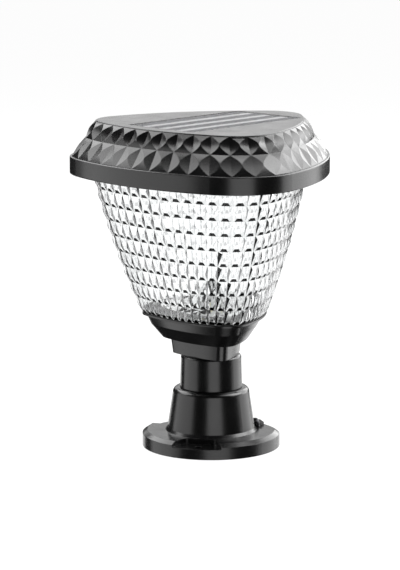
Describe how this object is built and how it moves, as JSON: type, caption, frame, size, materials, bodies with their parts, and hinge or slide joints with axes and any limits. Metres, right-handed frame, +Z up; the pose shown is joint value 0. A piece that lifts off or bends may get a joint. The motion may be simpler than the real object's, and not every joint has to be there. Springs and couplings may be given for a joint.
{
  "type": "solar pillar light",
  "caption": "Solar garden light: faceted rounded-triangle cap with a solar panel over a tapering clear prism lens, on a post turning in a round bolt-down base.",
  "frame": {"origin": "on the ground under the centre of the base's bolt circle", "axes": "+Z up along the post; +Y towards the rounded corner of the head that the solar panel's long side runs to"},
  "size_m": [0.2108, 0.2053, 0.26],
  "materials": {
    "black_plastic": "semi-gloss moulded black, fine grain",
    "clear_lens": "clear, moulded in rows of small prisms",
    "black_screw": "black oxide",
    "steel_screw": "zinc plated",
    "seal_rubber": "soft matte",
    "button_rubber": "soft matte",
    "white_reflector": "white satin",
    "board_white": "white solder mask",
    "board_green": "green solder mask",
    "led_phosphor": "yellow phosphor",
    "tray_plastic": "matte moulded",
    "cell_sleeve": "shrink sleeve over a metal can",
    "strap_steel": "thin sheet",
    "chip_black": "moulded epoxy",
    "lead_red": "soft insulation",
    "panel_black": "dark laminate",
    "solar_silicon": "dark silicon",
    "ribbon_tin": "tinned ribbon",
    "panel_resin": "clear resin"
  },
  "bodies": {
    "base": {"base_flange": "black_plastic"},
    "head": {"post_tube": "black_plastic", "lower_housing": "black_plastic", "rim_tray": "black_plastic", "faceted_cap": "black_plastic", "top_plate": "black_plastic", "prism_lens": "clear_lens", "post_screws": "steel_screw", "lens_screws": "steel_screw", "tray_screws": "steel_screw", "led_board_screws": "steel_screw", "strap_screws": "steel_screw", "controller_screws": "steel_screw", "cap_screws": "steel_screw", "lens_foot_seal": "seal_rubber", "lens_top_seal": "seal_rubber", "cap_seal": "seal_rubber", "bottom_reflector": "white_reflector", "top_reflector": "white_reflector", "led_board": "board_white", "controller_board": "board_green", "leds": "led_phosphor", "battery_tray": "tray_plastic", "switch_body": "tray_plastic", "lead_plugs": "tray_plastic", "battery_cells": "cell_sleeve", "battery_strap": "strap_steel", "controller_parts": "chip_black", "panel_leads": "lead_red", "battery_leads": "lead_red", "led_leads": "lead_red", "panel_board": "panel_black", "solar_cells": "solar_silicon", "cell_ribbons": "ribbon_tin", "panel_cover": "panel_resin"},
    "lock": {"lock_screw": "black_screw"},
    "button": {"switch_button": "button_rubber"}
  },
  "joints": [
    {"name": "head_swivel", "type": "hinge", "parent": "base", "child": "head", "pos_m": [0, 0, 0.05], "axis": [0, 0, 1], "continuous": true},
    {"name": "lock_screw_out", "type": "slide", "parent": "base", "child": "lock", "axis": [0.5, 0.866, 0], "range_m": [0, 0.003]},
    {"name": "power_button", "type": "slide", "parent": "head", "child": "button", "axis": [0, 0, 1], "range_m": [0, 0.0012], "stiffness_N_per_m": 400}
  ]
}
